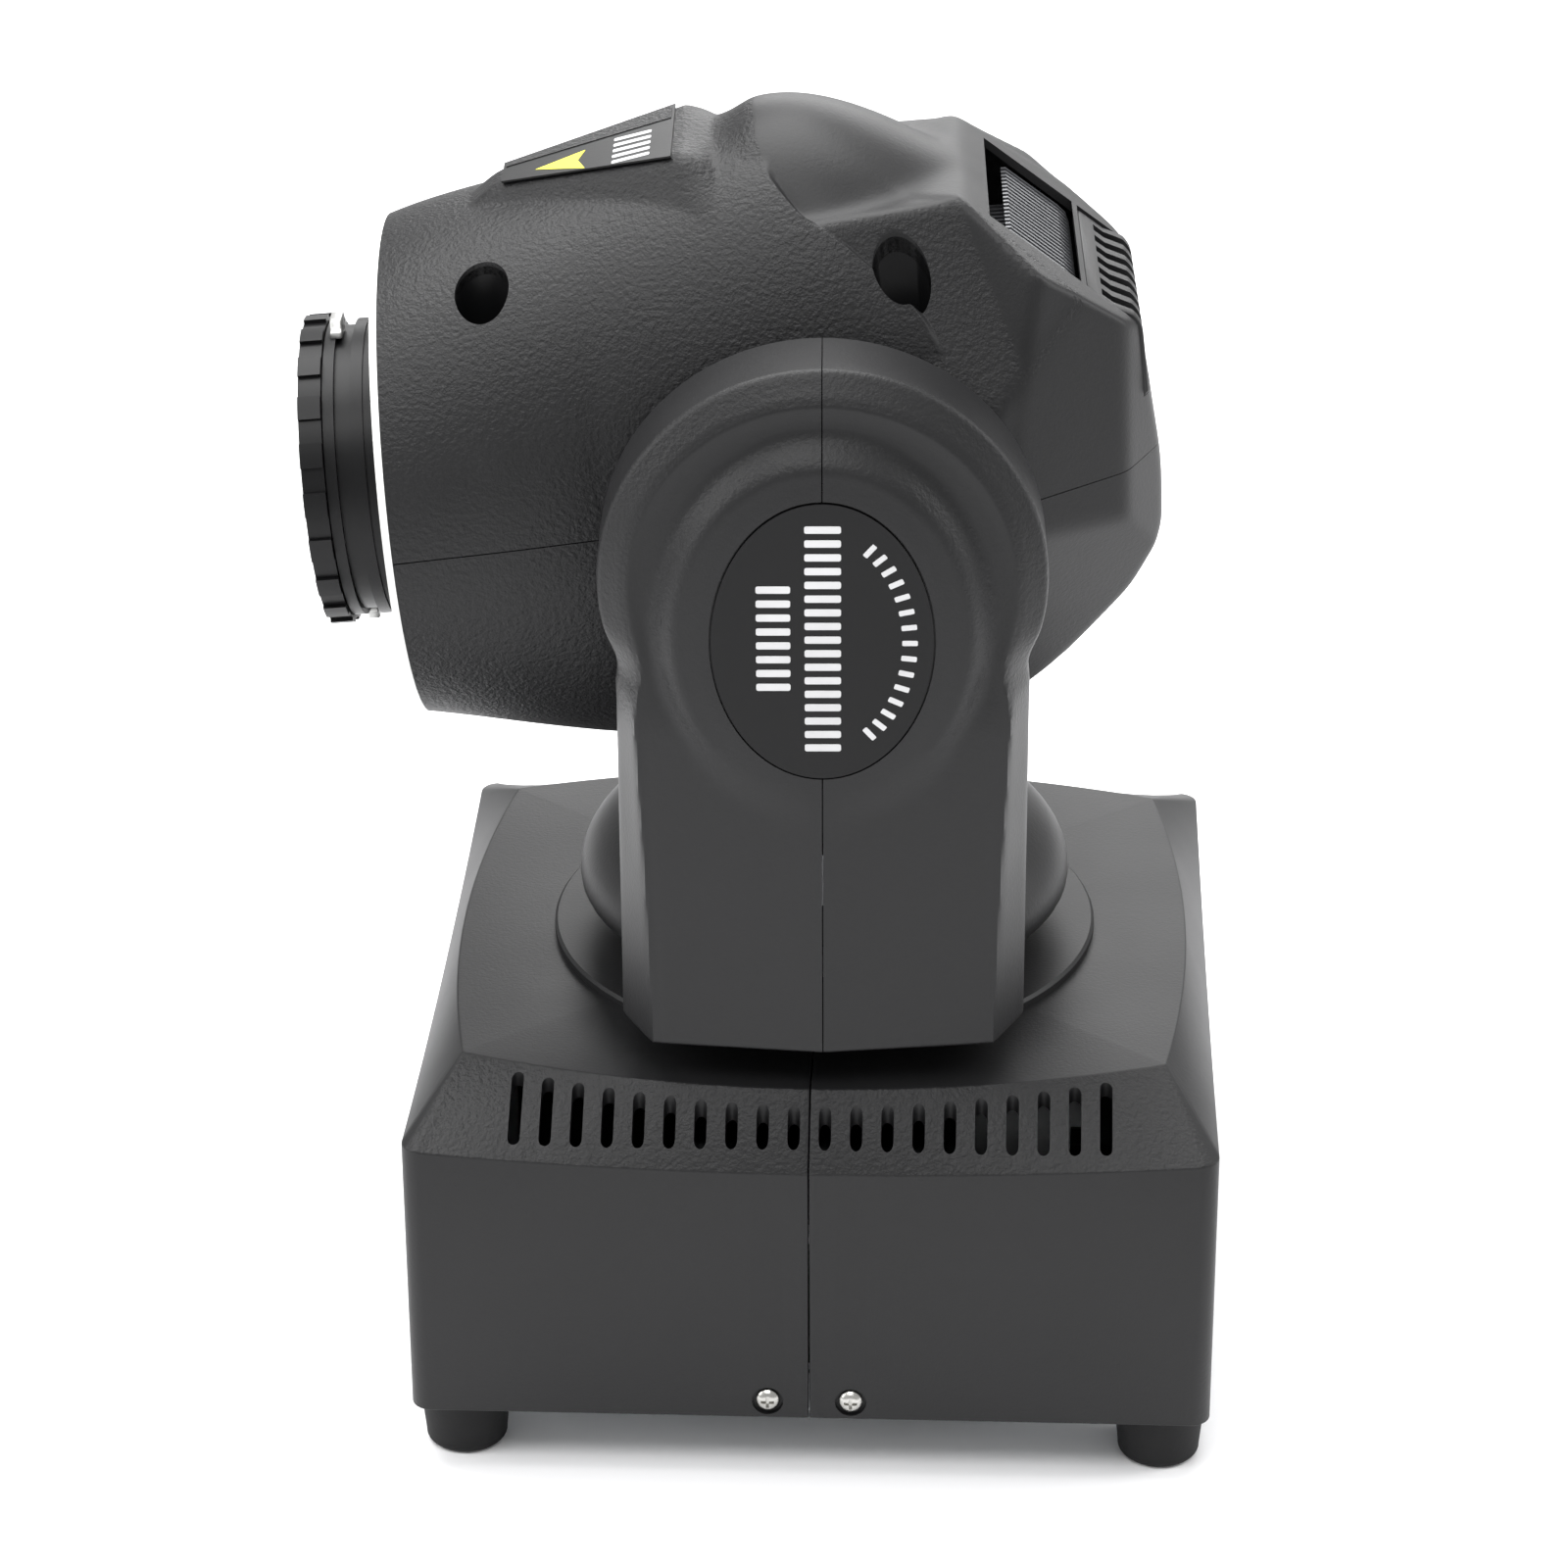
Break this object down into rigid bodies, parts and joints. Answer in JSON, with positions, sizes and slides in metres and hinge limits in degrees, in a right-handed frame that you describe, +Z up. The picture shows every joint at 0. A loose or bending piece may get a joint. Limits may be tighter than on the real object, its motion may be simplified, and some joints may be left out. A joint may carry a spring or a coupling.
{
  "type": "moving head light",
  "caption": "Compact moving head spot light: square base on rubber feet, two-armed panning yoke, tilting lamp head with a castellated focus ring.",
  "frame": {"origin": "on the pan axis, at the underside of the base plate, the middle of the four bracket holes", "axes": "+Z up along the pan axis; the lens points along -X at zero pan, so the display side faces -X and the sockets +X"},
  "size_m": [0.1886, 0.1692, 0.2652],
  "materials": {
    "moulded_black": "matt, finely grained",
    "smooth_black": "satin",
    "rubber": "matt",
    "sheet_steel": "powder coated",
    "plated_steel": "nickel plated",
    "machined_aluminium": "turned",
    "motor_can": "satin",
    "circuit_board": "lacquered",
    "button_cap": "satin",
    "white_ring": "gloss",
    "silver_plastic": "bright",
    "lens_glass": "polished",
    "smoked_window": "polished",
    "filter_disc": "satin"
  },
  "bodies": {
    "base": {"base_shell_left": "moulded_black", "base_shell_right": "moulded_black", "base_plate": "sheet_steel", "rubber_feet": "rubber", "base_screws": "plated_steel", "turntable_ring": "moulded_black", "pan_bearing": "plated_steel", "pan_motor": "motor_can", "pan_belt": "rubber", "display_panel": "smooth_black", "display_window": "smoked_window", "display_board": "circuit_board", "connector_panel": "sheet_steel", "power_inlet": "smooth_black", "switch_housing": "smooth_black", "data_in_socket": "smooth_black", "data_out_socket": "smooth_black", "power_supply": "circuit_board", "main_board": "circuit_board"},
    "pan_drive": {"pan_motor_pulley": "machined_aluminium"},
    "button_1": {"menu_button_1": "button_cap"},
    "button_2": {"menu_button_2": "button_cap"},
    "button_3": {"menu_button_3": "button_cap"},
    "button_4": {"menu_button_4": "button_cap"},
    "fuse_holder": {"fuse_drawer": "smooth_black"},
    "rocker": {"power_rocker": "smooth_black"},
    "socket_latch": {"latch_button": "plated_steel"},
    "yoke": {"yoke_shell_front": "moulded_black", "yoke_shell_rear": "moulded_black", "yoke_frame": "sheet_steel", "arm_badges": "smooth_black", "pan_hub": "machined_aluminium", "pan_pulley": "machined_aluminium", "tilt_bearings": "plated_steel", "tilt_motor": "motor_can", "tilt_belt": "rubber", "yoke_screws": "plated_steel"},
    "tilt_drive": {"tilt_motor_pulley": "machined_aluminium"},
    "head": {"head_top_shell": "moulded_black", "head_bottom_shell": "moulded_black", "top_label": "smooth_black", "rear_grille": "moulded_black", "front_ring": "white_ring", "front_plate": "smooth_black", "focus_sleeve": "smooth_black", "head_screws": "plated_steel", "optics_chassis": "sheet_steel", "tilt_trunnions": "machined_aluminium", "tilt_pulley": "machined_aluminium", "heat_sink": "machined_aluminium", "fan_frame": "smooth_black", "led_module": "circuit_board", "wheel_motors": "motor_can"},
    "fan": {"fan_impeller": "smooth_black"},
    "colours": {"colour_wheel": "filter_disc"},
    "gobos": {"gobo_wheel": "filter_disc"},
    "barrel": {"lens_barrel": "smooth_black", "lens_holder": "silver_plastic", "focus_lens": "lens_glass"},
    "focus": {"focus_ring": "smooth_black"}
  },
  "joints": [
    {"name": "pan", "type": "hinge", "parent": "base", "child": "yoke", "pos_m": [0, 0, 0.08], "axis": [0, 0, 1], "range_deg": [-272, 268]},
    {"name": "pan_motor_spin", "type": "hinge", "parent": "base", "child": "pan_drive", "pos_m": [-0.048, 0, 0.05], "axis": [0, 0, 1], "range_deg": [-1210, 1192]},
    {"name": "tilt", "type": "hinge", "parent": "yoke", "child": "head", "pos_m": [0, 0, 0.1795], "axis": [-0.0349, 0.9994, 0], "range_deg": [-1.5, 186]},
    {"name": "tilt_motor_spin", "type": "hinge", "parent": "yoke", "child": "tilt_drive", "pos_m": [0, 0, 0.1175], "axis": [-0.0349, 0.9994, 0], "range_deg": [-7, 800]},
    {"name": "fuse_pull", "type": "slide", "parent": "base", "child": "fuse_holder", "axis": [1, 0, 0], "range_m": [0, 0.01]},
    {"name": "power_switch", "type": "hinge", "parent": "base", "child": "rocker", "pos_m": [0.0785, -0.01, 0.033], "axis": [0, 1, 0], "range_deg": [0, 16]},
    {"name": "latch_press", "type": "slide", "parent": "base", "child": "socket_latch", "axis": [-1, 0, 0], "range_m": [0, 0.002], "stiffness_N_per_m": 400},
    {"name": "fan_spin", "type": "hinge", "parent": "head", "child": "fan", "pos_m": [0.05671, 0.00198, 0.18497], "axis": [0.9963, 0.0348, 0.0785], "continuous": true},
    {"name": "colour_select", "type": "hinge", "parent": "head", "child": "colours", "pos_m": [0.00937, 0.00033, 0.16619], "axis": [0.9963, 0.0348, 0.0785], "continuous": true},
    {"name": "gobo_select", "type": "hinge", "parent": "head", "child": "gobos", "pos_m": [-0.00319, -0.00011, 0.16521], "axis": [0.9963, 0.0348, 0.0785], "continuous": true},
    {"name": "focus_travel", "type": "slide", "parent": "head", "child": "barrel", "axis": [-0.9963, -0.0348, -0.0785], "range_m": [-0.0031, 0.0031]},
    {"name": "focus_turn", "type": "hinge", "parent": "barrel", "child": "focus", "pos_m": [-0.10044, -0.00351, 0.1756], "axis": [-0.9963, -0.0348, -0.0785], "range_deg": [-270, 270]},
    {"name": "button_1_press", "type": "slide", "parent": "base", "child": "button_1", "axis": [1, 0, 0], "range_m": [0, 0.0008], "stiffness_N_per_m": 400},
    {"name": "button_2_press", "type": "slide", "parent": "base", "child": "button_2", "axis": [1, 0, 0], "range_m": [0, 0.0008], "stiffness_N_per_m": 400},
    {"name": "button_3_press", "type": "slide", "parent": "base", "child": "button_3", "axis": [1, 0, 0], "range_m": [0, 0.0008], "stiffness_N_per_m": 400},
    {"name": "button_4_press", "type": "slide", "parent": "base", "child": "button_4", "axis": [1, 0, 0], "range_m": [0, 0.0008], "stiffness_N_per_m": 400}
  ],
  "couplings": [
    {"joint": "pan_motor_spin", "follows": "pan", "ratio": 4.4444},
    {"joint": "tilt_motor_spin", "follows": "tilt", "ratio": 4.2857},
    {"joint": "focus_travel", "follows": "focus_turn", "m_per_rad": 0.00063662}
  ]
}
